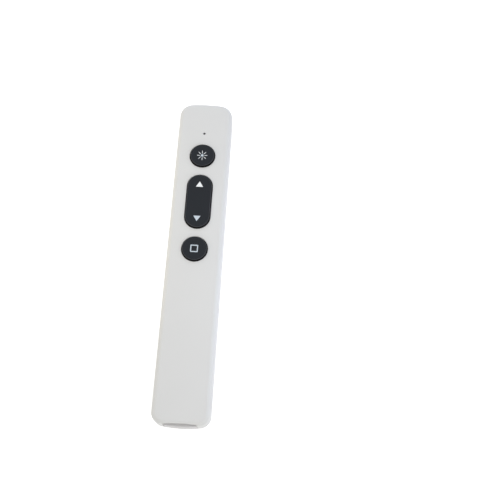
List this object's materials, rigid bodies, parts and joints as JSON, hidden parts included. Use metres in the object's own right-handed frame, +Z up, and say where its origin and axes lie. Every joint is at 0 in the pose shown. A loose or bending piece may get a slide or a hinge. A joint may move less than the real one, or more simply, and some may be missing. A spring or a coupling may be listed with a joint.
{
  "type": "wireless presenter",
  "caption": "Slim white wireless presenter with round and rocking keys on top, a laser window in the nose and a USB receiver stored in the tail.",
  "frame": {"origin": "centre of the underside of the housing, on the surface that it lies on", "axes": "+Y towards the nose with the laser window, +Z up through the keys, +X to the right, away from the charging port and the slide switch"},
  "size_m": [0.025, 0.153, 0.013],
  "materials": {
    "white_plastic": "fine matte moulded white plastic",
    "cap_plastic": "matte light grey plastic",
    "soft_touch_key": "soft-touch matte dark grey",
    "silicone": "translucent grey silicone",
    "board_laminate": "green solder mask",
    "black_plastic": "matte black",
    "connector_nylon": "cream nylon",
    "plated_steel": "nickel plated",
    "brass": "turned brass",
    "gold_plating": "gold plated",
    "clear_plastic": "clear polished",
    "light_pipe_plastic": "smoked clear plastic",
    "led_package": "moulded epoxy",
    "pouch_foil": "laminated foil pouch",
    "foam_tape": "black foam",
    "red_insulation": "red wire insulation",
    "key_mark": "silver-white printed ink"
  },
  "bodies": {
    "housing": {"upper_shell": "white_plastic", "lower_shell": "white_plastic", "key_mat": "silicone", "main_board": "board_laminate", "board_screw_1": "plated_steel", "board_screw_2": "plated_steel", "board_screw_3": "plated_steel", "board_screw_4": "plated_steel", "radio_chip": "black_plastic", "charge_chip": "black_plastic", "crystal": "plated_steel", "status_led": "led_package", "light_pipe": "light_pipe_plastic", "laser_window": "clear_plastic", "laser_housing": "brass", "laser_lens": "clear_plastic", "laser_diode": "gold_plating", "laser_board": "board_laminate", "laser_lead_red": "red_insulation", "laser_lead_black": "black_plastic", "battery_cell": "pouch_foil", "battery_pad": "foam_tape", "battery_board": "board_laminate", "battery_header": "connector_nylon", "battery_plug": "connector_nylon", "battery_lead_red": "red_insulation", "battery_lead_black": "black_plastic", "charge_socket": "plated_steel", "charge_socket_tongue": "black_plastic", "power_switch_case": "plated_steel"},
    "laser_button": {"laser_button": "soft_touch_key"},
    "page_key": {"page_key": "soft_touch_key"},
    "screen_button": {"screen_button": "soft_touch_key"},
    "power_slider": {"power_knob": "soft_touch_key", "power_switch_lever": "black_plastic"},
    "receiver": {"receiver_cap": "cap_plastic", "receiver_plug": "plated_steel", "receiver_tongue": "black_plastic", "receiver_contact_1": "gold_plating", "receiver_contact_2": "gold_plating", "receiver_contact_3": "gold_plating", "receiver_contact_4": "gold_plating"}
  },
  "joints": [
    {"name": "laser_button_press", "type": "slide", "parent": "housing", "child": "laser_button", "axis": [0, 0, -1], "range_m": [0, 0.0005], "stiffness_N_per_m": 400, "deforming": ["key_mat"]},
    {"name": "page_key_rock", "type": "hinge", "parent": "housing", "child": "page_key", "pos_m": [0, 0.0249, 0.009], "axis": [1, 0, 0], "range_deg": [-2.5, 2.5], "stiffness_Nm_per_rad": 0.05, "deforming": ["key_mat"]},
    {"name": "screen_button_press", "type": "slide", "parent": "housing", "child": "screen_button", "axis": [0, 0, -1], "range_m": [0, 0.0005], "stiffness_N_per_m": 400, "deforming": ["key_mat"]},
    {"name": "power_slide", "type": "slide", "parent": "housing", "child": "power_slider", "axis": [0, 1, 0], "range_m": [0, 0.002]},
    {"name": "receiver_pull", "type": "slide", "parent": "housing", "child": "receiver", "axis": [0, -1, 0], "range_m": [0, 0.022]}
  ]
}
